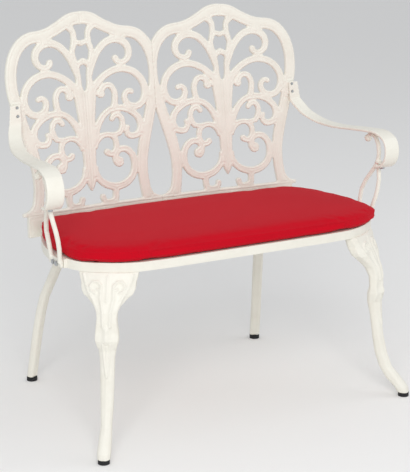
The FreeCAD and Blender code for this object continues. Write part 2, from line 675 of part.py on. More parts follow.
rear_bar = doc.addObject("Part::Loft", "RearLegLoft")
rear_bar.Sections = [carry("BarSection%02d" % index, bar_section(index))
                     for index in range(len(rear_points))]
rear_bar.Solid = True
rear_bar.Ruled = True
rear_pad = block("RearPad", "54", "26", "Sizes.rear_pad",
                 vec(REAR_TOP.x - 27, REAR_TOP.y - 13, SEAT_UNDER - size("rear_pad")))
rear_cuts = []
for index, spot in enumerate(rear_bolt_spots[2:]):
    rear_cuts.append(cylinder("RearLegBore%d" % index, leg_bolt_hole, "30",
                              vec(spot.x, spot.y, SEAT_UNDER + 2), vec(0, 0, -1)))
rear_foot = rear_points[0]
rear_cuts.append(cylinder("RearSpigotBore", "Sizes.plug_spigot + Sizes.bolt_play", "13",
                          vec(rear_foot.x, rear_foot.y, size("plug_height") - 1), vec(0, 0, 1)))
rear_left = take_away("RearLeg", join("RearLegBody", [rear_bar, rear_pad]),
                      join("RearLegBores", rear_cuts))
node(rear_left, "leg_rear_left")
node(mirrored("RearLegCopy", rear_left), "leg_rear_right")

# Foot plugs.
for title, spot in (("front", FOOT), ("rear", rear_foot)):
    spot = vec(spot.x, spot.y, 0)
    pad = cylinder("Plug" + title, "Sizes.plug_radius", "Sizes.plug_height", spot, vec(0, 0, 1))
    peg = "Sizes.plug_spigot * 1.4"
    half_peg = size("plug_spigot") * 0.7
    spigot = block("PlugSpigot" + title, peg, peg, "Sizes.plug_height + 10",
                   spot - vec(half_peg, half_peg, 0))
    plug = join("FootPlug" + title, [pad, spigot])
    node(plug, "foot_plug_%s_left" % title)
    node(mirrored("FootPlugCopy" + title, plug), "foot_plug_%s_right" % title)

# Arm ribbon.
ARM_SCALE = size("arm_rise") / 196.0


def arm_z(z):
    """Heights drawn for an arm 196 above a seat at 400."""
    return SEAT_TOP + (z - 400) * ARM_SCALE


# The ribbon's upper face seen from the side, from the lug on the back to the roll.
lug_top_z = LUG_Z + LUG_HALF
lug_low_z = LUG_Z - LUG_HALF
ARM_TOP = [
    (lug_front + LUG_HALF * LEAN - size("arm_thick") - 0.3, lug_top_z),
    (lug_front - size("arm_thick") - 0.3, LUG_Z),
    (lug_front - LUG_HALF * LEAN - size("arm_thick") - 0.3, lug_low_z),
    (lug_front - (LUG_HALF + 4) * LEAN - size("arm_thick") - 0.3, lug_low_z - 4),
    (171, arm_z(633)), (162, arm_z(623)), (147, arm_z(611)), (122, arm_z(600.5)),
    (90, arm_z(593.5)), (50, arm_z(591)), (0, arm_z(592.5)), (-60, arm_z(596)),
    (-85, arm_z(596.8)), (-108, arm_z(596)), (-138.4, arm_z(583.4)), (-151, arm_z(553)),
    (-145, arm_z(530)), (-131, arm_z(515.5)), (-122, arm_z(512)), (-116, arm_z(512)),
    (-110, arm_z(512)),
]
double = [(y, z, 2 * size("arm_thick")) for y, z in ARM_TOP]
below, above, ribbon_end = band_points(double)
top_run = [(a + b) / 2 for a, b in zip(below, above)]
side_edges = edge_run(top_run) + [Part.LineSegment(top_run[-1], below[-1]).toShape()]
side_edges += edge_run(below[::-1]) + [Part.LineSegment(below[0], top_run[0]).toShape()]
side_face = Part.Face(Part.Wire(side_edges))
side_face.rotate(vec(0, 0, 0), vec(0, 0, 1), 90)
side_face.translate(vec(330 + SIDE, 0, 0))
ribbon_side = doc.addObject("Part::Extrusion", "RibbonSide")
ribbon_side.Base = carry("RibbonProfile", side_face)
ribbon_side.DirMode = "Custom"
ribbon_side.Dir = vec(1, 0, 0)
ribbon_side.LengthFwd = 140
ribbon_side.Solid = True

# The ribbon's plan: centre line with its widths, from the lug to the roll.
ARM_PLAN = [
    (368, 215, 24), (368.5, 196, 24), (369.5, 180, 24), (378.5, 167, 28), (385.5, 150, 31),
    (394, 120, 34), (400, 85, 34.5), (404.5, 45, 36), (411, 0, 38), (417, -45, 40),
    (421.5, -80, 40.5), (424, -107, 40), (426, -135, 39), (426.8, -160, 39),
]
plan_face = band([(x + SIDE, y, width) for x, y, width in ARM_PLAN])
plan_face.rotate(vec(0, 0, 0), vec(1, 0, 0), -90)
ribbon_plan = doc.addObject("Part::Extrusion", "RibbonPlan")
ribbon_plan.Base = carry("RibbonOutline", plan_face)
ribbon_plan.Placement = FreeCAD.Placement(vec(0, 0, SEAT_TOP), FreeCAD.Rotation())
ribbon_plan.DirMode = "Custom"
ribbon_plan.Dir = vec(0, 0, 1)
ribbon_plan.LengthFwd = 400
ribbon_plan.Solid = True
ribbon = overlap("Ribbon", ribbon_side, ribbon_plan)

TIP = vec(425 + SIDE, -115.8, arm_z(515))
arm_cuts = [cylinder("ArmBore%d" % index, bolt_hole, "40", spot - LUG_AXIS * 40, LUG_AXIS)
            for index, spot in enumerate(lug_bolts[2:])]
arm_cuts.append(cylinder("TipBore", bolt_hole, "40", TIP - vec(0, 0, 20), vec(0, 0, 1)))
arm_left = take_away("Arm", ribbon, join("ArmBores", arm_cuts))
node(arm_left, "arm_left")
node(mirrored("ArmCopy", arm_left), "arm_right")

# Arm brackets.
# Two rods stand on a foot plate at the seat's side, meet below the roll and end in a
# ball under the ribbon. Points are outward shift, y and height for the sizes above.
ROD_SIDES = 8
REAR_ROD = [
    (425, -59, 574), (425, -64, 582.5), (425, -74, 584.0), (425, -88, 578), (425, -98, 563),
    (424.5, -102.5, 545), (423.5, -101.5, 528), (421.5, -92, 508), (418.5, -80, 492),
    (414.5, -68, 474), (410, -58.5, 452), (406, -58, 431), (402.5, -61, 405),
    (401.3, -62.5, 391),
]
FRONT_ROD = [
    (423, -101.5, 520), (421.5, -107, 502), (418.5, -113, 482), (413.5, -115.5, 460),
    (409, -114, 441), (405, -110, 423), (402.2, -105.5, 405), (401.3, -103, 391),
]


def rod(name, points):
    """Round rod through the points: a ruled loft of many-sided rings."""
    line = [vec(x + SIDE, y, arm_z(z)) for x, y, z in points]
    last = len(line) - 1
    rings = []
    for index, middle in enumerate(line):
        heading = (line[min(index + 1, last)] - line[max(index - 1, 0)]).normalize()
        side = heading.cross(vec(1, 0, 0)).normalize()
        radius = size("rod_radius")
        corners = []
        for step in range(ROD_SIDES):
            turn = 2 * math.pi * step / ROD_SIDES
            corners.append(middle + (side * math.cos(turn) + side.cross(heading) * math.sin(turn)) * radius)
        rings.append(carry("%sRing%02d" % (name, index), Part.makePolygon(corners + corners[:1])))
    bar = doc.addObject("Part::Loft", name)
    bar.Sections = rings
    bar.Solid = True
    bar.Ruled = True
    return bar


rods = [rod("RearRod", REAR_ROD), rod("FrontRod", FRONT_ROD)]
ball = bound("Part::Sphere", "RodBall", Radius="Sizes.ball_radius")
ball.Placement.Base = vec(425 + SIDE, -58, arm_z(572))
knuckle = bound("Part::Sphere", "RodKnuckle", Radius="Sizes.rod_radius + 2")
knuckle.Placement.Base = vec(423.3 + SIDE, -101.5, arm_z(522))
tip_top = arm_z(512) + size("arm_thick") + 0.3
tip_lug = block("TipLug", "16", "22", "6", vec(TIP.x - 8, -121.9, tip_top))
foot_plate = block("FootPlate", "Sizes.foot_plate", "60", "Sizes.rim_depth - 2",
                   vec(PLATE_X, -109, SEAT_UNDER + 1))
support_body = join("BracketBody", rods + [ball, knuckle, tip_lug, foot_plate])
support_cuts = [cylinder("TipLugBore", bolt_hole, "30", TIP - vec(0, 0, 10), vec(0, 0, 1))]
for index, (sign, spot) in enumerate(side_bolts):
    if sign > 0:
        support_cuts.append(cylinder("PlateBore%d" % index, bolt_hole, "30",
                                     spot + vec(10, 0, 0), vec(-1, 0, 0)))
support_left = take_away("Bracket", support_body, join("BracketBores", support_cuts))
node(support_left, "arm_bracket_left")
node(mirrored("BracketCopy", support_left), "arm_bracket_right")

# Seat cushion.
# Boxed cushion: two seams stand a little proud of drawn-in sides, and the top swells
# to its crown. Insets are measured from the seat's edge.
CUSHION_EDGE = [
    (0, -214), (105, -214), (210, -213), (277, -204), (328, -178), (361, -150),
    (378, -112), (384, -60), (379, -8), (366, 48), (343, 100), (322, 130),
]


def cushion_wire(inset, height):
    """The cushion's outline drawn in towards its middle."""
    run = [(x + SIDE if x > 100 else x, seat_y(y)) for x, y in CUSHION_EDGE]
    corner_x = 290 + SIDE
    run.append((corner_x, SEAT_REAR_Y - 24 - bow(corner_x)))
    run.append((0, SEAT_REAR_Y - 24))
    run += [(-x, y) for x, y in run[-2:0:-1]]
    middle = seat_y(-30)
    wide = 1 - inset / (383 + SIDE)
    deep = 1 - inset / (SEAT_REAR_Y - 24 - middle)
    corners = [vec(x * wide, middle + (y - middle) * deep, height) for x, y in run]
    return Part.Wire(edge_run(corners + corners[:1]))


seam = size("cushion_inset")
base_z = SEAT_TOP + size("cushion_gap")
edge = size("cushion_edge")
crown = size("cushion_thick")
CUSHION_RISE = [
    (seam + 5, 0.0), (seam, 3.0), (seam + 2.5, 7.0), (seam + 3, edge / 2),
    (seam + 2.5, edge - 6.0), (seam, edge - 2.0), (seam + 7, edge + 1.5),
    (seam + 50, (edge + crown * 2) / 3 + 0.6), (seam + 110, crown),
]
cushion = doc.addObject("Part::Loft", "CushionLoft")
cushion.Sections = [carry("CushionSection%d" % index, cushion_wire(inset, base_z + rise))
                    for index, (inset, rise) in enumerate(CUSHION_RISE)]
cushion.Solid = True
cushion.Ruled = True
node(cushion, "seat_cushion")


# Fasteners.
def bolt(name, base, axis, kind, shank):
    """Hexagon bolt: its head rises from base along axis, its shank goes the other way."""
    head = bound("Part::Prism", name + "Head", Height="Sizes.%s_head" % kind,
                 Circumradius="Sizes.%s_flats / 1.7320508" % kind)
    head.Polygon = 6
    head.Placement = FreeCAD.Placement(base, FreeCAD.Rotation(vec(0, 0, 1), axis))
    core = cylinder(name + "Shank", "Sizes.%s_radius" % kind, str(shank), base, axis * -1)
    return join(name, [head, core])


def nut(name, base, axis):
    body = bound("Part::Prism", name + "Body", Height="Sizes.nut_height",
                 Circumradius="Sizes.bolt_flats / 1.7320508")
    body.Polygon = 6
    body.Placement = FreeCAD.Placement(base, FreeCAD.Rotation(vec(0, 0, 1), axis))
    hole = cylinder(name + "Thread", "Sizes.bolt_radius + 0.05", "Sizes.nut_height + 2",
                    base - axis, axis)
    return take_away(name, body, hole)


back_bolts, back_nuts = [], []
for index, (x, inward) in enumerate(rail_bolts):
    rear = vec(x, RAIL_Y - inward + size("rail_thick") / 2 + 2, RAIL_BOLT_Z)
    front = vec(x, SEAT_REAR_Y - inward - size("rim_wall") - 9, RAIL_BOLT_Z)
    span = (rear - front).Length + size("nut_height") + 2
    back_bolts.append(bolt("BackBolt%d" % index, rear, vec(0, 1, 0), "bolt", span))
    back_nuts.append(nut("BackNut%d" % index, front, vec(0, -1, 0)))
node(group("BackBolts", back_bolts), "back_bolts")
node(group("BackNuts", back_nuts), "back_bolt_nuts")

lug_span = lug_thick + size("arm_thick") + 0.3
arm_bolts = [bolt("ArmBolt%d" % index, spot, LUG_AXIS, "bolt", lug_span)
             for index, spot in enumerate(lug_bolts)]
node(group("ArmBolts", arm_bolts), "arm_back_bolts")

plate_bolts = [bolt("PlateBolt%d" % index, spot, vec(sign, 0, 0), "bolt", size("foot_plate") + 18)
               for index, (sign, spot) in enumerate(side_bolts)]
node(group("PlateBolts", plate_bolts), "bracket_seat_bolts")
tip_screws = [bolt("TipScrew%d" % index, vec(sign * TIP.x, TIP.y, arm_z(512) - 0.1),
                   vec(0, 0, -1), "bolt", size("arm_thick") + 6)
              for index, sign in enumerate((-1, 1))]
node(group("TipScrews", tip_screws), "arm_tip_screws")

front_bolts, rear_bolts = [], []
for index, spot in enumerate(front_bolt_spots):
    low = spot - vec(0, 0, RECESS)
    front_bolts.append(bolt("FrontLegBolt%d" % index, low, vec(0, 0, 1), "leg_bolt",
                            low.z - SEAT_UNDER + 28))
for index, spot in enumerate(rear_bolt_spots):
    low = spot - vec(0, 0, RECESS)
    rear_bolts.append(bolt("RearLegBolt%d" % index, low, vec(0, 0, 1), "leg_bolt",
                           low.z - SEAT_UNDER + size("rear_pad") + 1))
node(group("FrontLegBolts", front_bolts), "front_leg_bolts")
node(group("RearLegBolts", rear_bolts), "rear_leg_bolts")

doc.recompute()
faulty = [item.Name for item in doc.Objects if "Invalid" in item.State or "Error" in item.State]
if faulty:
    raise RuntimeError("objects that did not recompute: " + ", ".join(faulty))
os.makedirs("parts", exist_ok=True)
for item in NODES:
    if item.Shape.isNull() or not item.Shape.isValid():
        raise RuntimeError(item.Label + " has no valid shape")
    if not item.Shape.Solids:
        raise RuntimeError(item.Label + " has no solid")
    item.Shape.exportStep("parts/%s.step" % item.Label)
    box = item.Shape.BoundBox
    print("%-22s %2d solids  x %.1f..%.1f  y %.1f..%.1f  z %.1f..%.1f" % (
        item.Label, len(item.Shape.Solids), box.XMin, box.XMax, box.YMin, box.YMax,
        box.ZMin, box.ZMax))
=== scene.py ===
"""Dresses the cast-aluminium garden love seat: powder-coated castings and a red cushion.

Lengths in the classes below are millimetres, as in the drawing, unless a class says
otherwise; Blender's own lengths are metres, and MM turns one into the other.
"""

import enum
import json
import logging
import math
from dataclasses import dataclass, field

import bmesh
import bpy
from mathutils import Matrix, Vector
from mathutils.bvhtree import BVHTree
from mathutils.geometry import intersect_point_line


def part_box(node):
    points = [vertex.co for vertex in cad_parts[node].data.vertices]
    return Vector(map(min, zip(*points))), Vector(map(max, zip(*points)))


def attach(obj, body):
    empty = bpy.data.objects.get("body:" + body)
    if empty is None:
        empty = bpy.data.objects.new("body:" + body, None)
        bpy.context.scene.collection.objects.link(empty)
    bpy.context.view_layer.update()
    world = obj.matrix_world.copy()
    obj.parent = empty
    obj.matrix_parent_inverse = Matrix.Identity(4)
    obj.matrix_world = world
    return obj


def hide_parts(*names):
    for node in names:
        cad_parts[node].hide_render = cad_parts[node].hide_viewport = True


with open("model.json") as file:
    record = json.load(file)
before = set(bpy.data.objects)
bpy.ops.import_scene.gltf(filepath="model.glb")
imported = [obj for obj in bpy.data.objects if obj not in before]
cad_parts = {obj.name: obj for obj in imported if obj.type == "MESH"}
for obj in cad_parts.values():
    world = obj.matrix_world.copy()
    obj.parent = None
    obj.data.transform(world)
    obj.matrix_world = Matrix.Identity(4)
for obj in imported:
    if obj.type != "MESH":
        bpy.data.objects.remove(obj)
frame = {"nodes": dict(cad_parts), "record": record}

MM = 0.001
# Period of a wave texture whose scale is one, in the units of its coordinates.
WAVE_PERIOD = 0.314
log = logging.getLogger("love_seat")


class Body(enum.Enum):
    """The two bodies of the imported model."""

    FRAME = "frame"
    CUSHION = "cushion"


class Slot(enum.Enum):
    """Material slots of the record."""

    PAINT = "white_paint"
    RUBBER = "plug_rubber"
    FABRIC = "cushion_fabric"
    STEEL = "fasteners"


def linear(code: str) -> tuple[float, float, float, float]:
    """Turns an sRGB hex colour into linear values.

    Args:
        code: Six hex digits, with or without a leading hash.

    Returns:
        Red, green, blue and an alpha of one.
    """
    digits = code.lstrip("#")
    values = []
    for start in (0, 2, 4):
        level = int(digits[start:start + 2], 16) / 255
        values.append(level / 12.92 if level <= 0.04045 else ((level + 0.055) / 1.055) ** 2.4)
    return (values[0], values[1], values[2], 1.0)


def add_node(tree: bpy.types.NodeTree, kind: str, links: dict | None = None,
             inputs: dict | None = None, **settings) -> bpy.types.Node:
    """Adds one node with its settings, values and incoming links.

    Args:
        tree: The material's node tree.
        kind: The node's type, such as ShaderNodeBump.
        links: Input name to the output socket that feeds it.
        inputs: Input name to a plain value.
        settings: Attributes of the node itself.

    Returns:
        The new node.
    """
    node = tree.nodes.new(kind)
    for name, value in settings.items():
        setattr(node, name, value)
    for name, value in (inputs or {}).items():
        node.inputs[name].default_value = value
    for name, socket in (links or {}).items():
        tree.links.new(socket, node.inputs[name])
    return node


@dataclass(frozen=True)
class Finish:
    """One real finish; subclasses add its surface."""

    name: str
    colour: str
    roughness: float

    def build(self) -> bpy.types.Material:
        """Makes the material with its colour, roughness and surface.

        Returns:
            The finished material.
        """
        material = bpy.data.materials.new(self.name)
        material.use_nodes = True
        tree = material.node_tree
        shader = tree.nodes["Principled BSDF"]
        shader.inputs["Base Color"].default_value = linear(self.colour)
        shader.inputs["Roughness"].default_value = self.roughness
        place = add_node(tree, "ShaderNodeTexCoord")
        self.surface(tree, shader, place.outputs["Object"])
        return material

    def surface(self, tree: bpy.types.NodeTree, shader: bpy.types.Node,
                place: bpy.types.NodeSocket) -> None:
        """Adds what the eye sees on the surface; plain here."""


@dataclass(frozen=True)
class PowderCoat(Finish):
    """Satin powder coat baked on sand-cast aluminium.

    The film follows the sand's soft grain, is a little pebbled like orange peel,
    and holds a trace of grey weathering in broad patches.
    """

    patch_mm: float = 38.0
    sand_mm: float = 2.2
    peel_mm: float = 0.9
    gloss_range: tuple = (-0.06, 0.16)
    weather: str = "#D9D4C6"

    def surface(self, tree: bpy.types.NodeTree, shader: bpy.types.Node,
                place: bpy.types.NodeSocket) -> None:
        """Adds weathering patches, uneven gloss, sand grain and orange peel.

        Args:
            tree: The material's node tree.
            shader: Its shader.
            place: Object coordinates in metres.
        """
        patch = add_node(tree, "ShaderNodeTexNoise", {"Vector": place},
                         {"Scale": 1 / (self.patch_mm * MM), "Detail": 5.0, "Roughness": 0.62})
        amount = add_node(tree, "ShaderNodeMapRange", {"Value": patch.outputs["Fac"]},
                          {"From Min": 0.46, "From Max": 0.78, "To Min": 0.0, "To Max": 0.35})
        mix = add_node(tree, "ShaderNodeMix", {"Factor": amount.outputs["Result"]},
                       data_type="RGBA")
        mix.inputs["A"].default_value = linear(self.colour)
        mix.inputs["B"].default_value = linear(self.weather)
        tree.links.new(mix.outputs["Result"], shader.inputs["Base Color"])
        gloss = add_node(tree, "ShaderNodeMapRange", {"Value": patch.outputs["Fac"]},
                         {"To Min": self.roughness + self.gloss_range[0],
                          "To Max": self.roughness + self.gloss_range[1]})
        tree.links.new(gloss.outputs["Result"], shader.inputs["Roughness"])
        sand = add_node(tree, "ShaderNodeTexNoise", {"Vector": place},
                        {"Scale": 1 / (self.sand_mm * MM), "Detail": 3.0})
        peel = add_node(tree, "ShaderNodeTexNoise", {"Vector": place},
                        {"Scale": 1 / (self.peel_mm * MM), "Detail": 1.0})
        low = add_node(tree, "ShaderNodeBump", {"Height": sand.outputs["Fac"]},
                       {"Strength": 0.35, "Distance": 0.25 * MM})
        high = add_node(tree, "ShaderNodeBump",
                        {"Height": peel.outputs["Fac"], "Normal": low.outputs["Normal"]},
                        {"Strength": 0.2, "Distance": 0.1 * MM})
        tree.links.new(high.outputs["Normal"], shader.inputs["Normal"])


@dataclass(frozen=True)
class MouldedRubber(Finish):
    """Matt black rubber, moulded, with a fine grain."""

    grain_mm: float = 0.6

    def surface(self, tree: bpy.types.NodeTree, shader: bpy.types.Node,
                place: bpy.types.NodeSocket) -> None:
        """Adds a fine grain.

        Args:
            tree: The material's node tree.
            shader: Its shader.
            place: Object coordinates in metres.
        """
        grain = add_node(tree, "ShaderNodeTexNoise", {"Vector": place},
                         {"Scale": 1 / (self.grain_mm * MM), "Detail": 2.0})
        bump = add_node(tree, "ShaderNodeBump", {"Height": grain.outputs["Fac"]},
                        {"Strength": 0.3, "Distance": 0.08 * MM})
        tree.links.new(bump.outputs["Normal"], shader.inputs["Normal"])


@dataclass(frozen=True)
class WovenCanvas(Finish):
    """Plain woven red canvas with a faint sheen.

    Threads cross at right angles; the weave is drawn coarser than a real thread, which
    would be too fine to show. The cloth is a little uneven in tone.
    """

    thread_mm: float = 1.6
    tone_mm: float = 60.0
    shade_offset: float = -0.12
    shade: str = "#A00A1C"

    def surface(self, tree: bpy.types.NodeTree, shader: bpy.types.Node,
                place: bpy.types.NodeSocket) -> None:
        """Adds the weave, tone and sheen.

        Args:
            tree: The material's node tree.
            shader: Its shader.
            place: Object coordinates in metres.
        """
        shader.inputs["Sheen Weight"].default_value = 0.04
        shader.inputs["Sheen Roughness"].default_value = 0.45
        shader.inputs["Specular IOR Level"].default_value = 0.12
        waves = [add_node(tree, "ShaderNodeTexWave", {"Vector": place},
                          {"Scale": WAVE_PERIOD / (self.thread_mm * MM), "Distortion": 0.4,
                           "Detail": 1.0}, bands_direction=way) for way in "XY"]
        weave = add_node(tree, "ShaderNodeMath", {0: waves[0].outputs["Fac"],
                                                  1: waves[1].outputs["Fac"]},
                         operation="MULTIPLY")
        tone = add_node(tree, "ShaderNodeTexNoise", {"Vector": place},
                        {"Scale": 1 / (self.tone_mm * MM), "Detail": 6.0})
        blend = add_node(tree, "ShaderNodeMath", {0: tone.outputs["Fac"],
                                                  1: weave.outputs["Value"]},
                         {2: self.shade_offset}, operation="MULTIPLY_ADD")
        mix = add_node(tree, "ShaderNodeMix", {"Factor": blend.outputs["Value"]}, data_type="RGBA")
        mix.inputs["A"].default_value = linear(self.colour)
        mix.inputs["B"].default_value = linear(self.shade)
        tree.links.new(mix.outputs["Result"], shader.inputs["Base Color"])
        bump = add_node(tree, "ShaderNodeBump", {"Height": weave.outputs["Value"]},
                        {"Strength": 0.35, "Distance": 0.3 * MM})
        tree.links.new(bump.outputs["Normal"], shader.inputs["Normal"])


@dataclass(frozen=True)
class ZincPlate(Finish):
    """Zinc-plated steel: pale metal with faint clouding."""

    cloud_mm: float = 5.0

    def surface(self, tree: bpy.types.NodeTree, shader: bpy.types.Node,
                place: bpy.types.NodeSocket) -> None:
        """Adds the metal and its clouding.

        Args:
            tree: The material's node tree.
            shader: Its shader.
            place: Object coordinates in metres.
        """
        shader.inputs["Metallic"].default_value = 1.0
        cloud = add_node(tree, "ShaderNodeTexNoise", {"Vector": place},
                         {"Scale": 1 / (self.cloud_mm * MM), "Detail": 3.0})
        rough = add_node(tree, "ShaderNodeMapRange", {"Value": cloud.outputs["Fac"]},
                         {"To Min": 0.25, "To Max": 0.5})
        tree.links.new(rough.outputs["Result"], shader.inputs["Roughness"])


PAINT = PowderCoat("OffWhitePowderCoat", "#E9E6DB", 0.45)
RUBBER = MouldedRubber("BlackMouldedRubber", "#17171A", 0.75)
CANVAS = WovenCanvas("RedWovenCanvas", "#C1061D", 0.95)
ZINC = ZincPlate("ZincPlatedSteel", "#BFC2C4", 0.35)


@dataclass
class Dresser:
    """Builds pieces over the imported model's nodes and gives them their finish."""

    finishes: dict[Slot, bpy.types.Material] = field(default_factory=dict)
    weld: float = 0.004

    def paint_node(self, node: str, slot: Slot) -> None:
        """Gives a node that stays as it is its finish.

        Args:
            node: The node's name.
            slot: Its material slot.
        """
        mesh = frame["nodes"][node].data
        mesh.materials.clear()
        mesh.materials.append(self.finishes[slot])

    def node_mesh(self, nodes: list[str]) -> bmesh.types.BMesh:
        """Copies nodes into one mesh with its loose triangles joined.

        Args:
            nodes: Names of the nodes.

        Returns:
            A new bmesh.
        """
        work = bmesh.new()
        for node in nodes:
            work.from_mesh(frame["nodes"][node].data)
        bmesh.ops.remove_doubles(work, verts=work.verts, dist=self.weld * MM)
        return work

    def piece(self, name: str, work: bmesh.types.BMesh, body: Body, slot: Slot,
              nodes: list[str]) -> bpy.types.Object:
        """Turns a bmesh into a finished piece that stands for nodes.

        Args:
            name: The piece's name.
            work: Its mesh, freed here.
            body: The body that it rides on.
            slot: The material slot of its finish.
            nodes: The nodes that it replaces.

        Returns:
            The new object.
        """
        mesh = bpy.data.meshes.new(name)
        work.to_mesh(mesh)
        work.free()
        mesh.materials.append(self.finishes[slot])
        mesh.shade_smooth()
        made = bpy.data.objects.new(name, mesh)
        bpy.context.scene.collection.objects.link(made)
        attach(made, body.value)
        if nodes:
            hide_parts(*nodes)
        log.info("%s: %d faces", name, len(mesh.polygons))
        return made

    def remeshed(self, work: bmesh.types.BMesh, voxel: float) -> bmesh.types.BMesh:
        """Rebuilds a closed mesh as even quads.

        Args:
            work: The mesh, freed here.
            voxel: Size of a quad, in mm.

        Returns:
            A new bmesh.
        """
        mesh = bpy.data.meshes.new("remesh")
        work.to_mesh(mesh)
        work.free()
        temp = bpy.data.objects.new("remesh", mesh)
        bpy.context.scene.collection.objects.link(temp)
        tool = temp.modifiers.new("Voxels", "REMESH")
        tool.mode = "VOXEL"
        tool.voxel_size = voxel * MM
        fresh = bmesh.new()
        fresh.from_object(temp, bpy.context.evaluated_depsgraph_get())
        bpy.data.objects.remove(temp)
        bpy.data.meshes.remove(mesh)
        return fresh


def smooth(work: bmesh.types.BMesh, steps: int, factor: float = 0.5) -> None:
    """Evens out a mesh's vertices.

    Args:
        work: The mesh.
        steps: How many passes.
        factor: How far each pass moves a vertex.
    """
    for _ in range(steps):
        bmesh.ops.smooth_vert(work, verts=work.verts, factor=factor, use_axis_x=True,
                              use_axis_y=True, use_axis_z=True)


@dataclass
class ScrollworkBack:
    """The pierced back, with the rounded edges and the sunk line of the real casting.

    Walls are the sides that run through the casting's thickness, and depth is a point's
    distance from the nearest wall, counted up to the reach. The tilts are cosines
    against the direction of the thickness: walls lie under wall_tilt, and points from
    face_tilt up are moved. Those in the strip along the middle stay where they are.
    The lean is in degrees.
    """

    node: str = "back_casting"
    voxel: float = 2.0
    edge_round: float = 3.2
    edge_drop: float = 2.6
    groove_at: float = 6.2
    groove_wide: float = 1.6
    groove_deep: float = 1.5
    rear_drop: float = 0.8
    lean: float = 7.4
    reach: float = 14.0
    middle_strip: float = 1.0
    wall_tilt: float = 0.6
    face_tilt: float = 0.35
    cut_weld: float = 0.01

    def profile(self, depth: float) -> float:
        """Height of the face above or below the plain casting.

        Args:
            depth: Distance in mm from the nearest wall.

        Returns:
            Height in mm, negative where the face falls away.
        """
        edge = max(0.0, 1.0 - depth / self.edge_round)
        groove = math.exp(-(((depth - self.groove_at) / self.groove_wide) ** 2))
        return -self.edge_drop * edge * edge - self.groove_deep * groove

    def build(self, dresser: Dresser) -> None:
        """Makes both panels.

        Args:
            dresser: Gives meshes and finishes.
        """
        angle = math.radians(self.lean)
        rear = Vector((0.0, math.cos(angle), -math.sin(angle)))
        whole = dresser.node_mesh([self.node])
        walls = BVHTree.FromPolygons(
            [v.co.copy() for v in whole.verts],
            [[v.index for v in f.verts] for f in whole.faces
             if abs(f.normal.dot(rear)) < self.wall_tilt])
        for name, side in (("BackPanelRight", -1), ("BackPanelLeft", 1)):
            half = whole.copy()
            plane = bmesh.ops.bisect_plane(half, geom=half.verts[:] + half.edges[:] + half.faces[:],
                                           plane_co=(0, 0, 0), plane_no=(side, 0, 0),
                                           clear_inner=True, dist=self.cut_weld * MM)
            rim = [g for g in plane["geom_cut"] if isinstance(g, bmesh.types.BMEdge)]
            bmesh.ops.holes_fill(half, edges=rim, sides=0)
            bmesh.ops.triangulate(half, faces=half.faces)
            fine = dresser.remeshed(half, self.voxel)
            self.mould(fine, walls, rear)
            nodes = [self.node] if side < 0 else []
            dresser.piece(name, fine, Body.FRAME, Slot.PAINT, nodes)
        whole.free()

    def mould(self, work: bmesh.types.BMesh, walls: BVHTree, rear: Vector) -> None:
        """Rounds the edges and sinks the groove of the front face.

        Args:
            work: One panel.
            walls: The casting's side walls.
            rear: Direction away from the sitter.
        """
        smooth(work, 1)
        work.normal_update()
        for vert in work.verts:
            facing = -vert.normal.dot(rear)
            if abs(facing) < self.face_tilt or abs(vert.co.x) < self.middle_strip * MM:
                continue
            _, _, _, depth = walls.find_nearest(vert.co, self.reach * MM)
            depth = self.reach if depth is None else depth / MM
            height = self.profile(depth)
            if facing < 0:
                height = max(height, -self.rear_drop)
            vert.co += vert.normal * (height * min(1.0, abs(facing)) * MM)
        smooth(work, 1, 0.4)


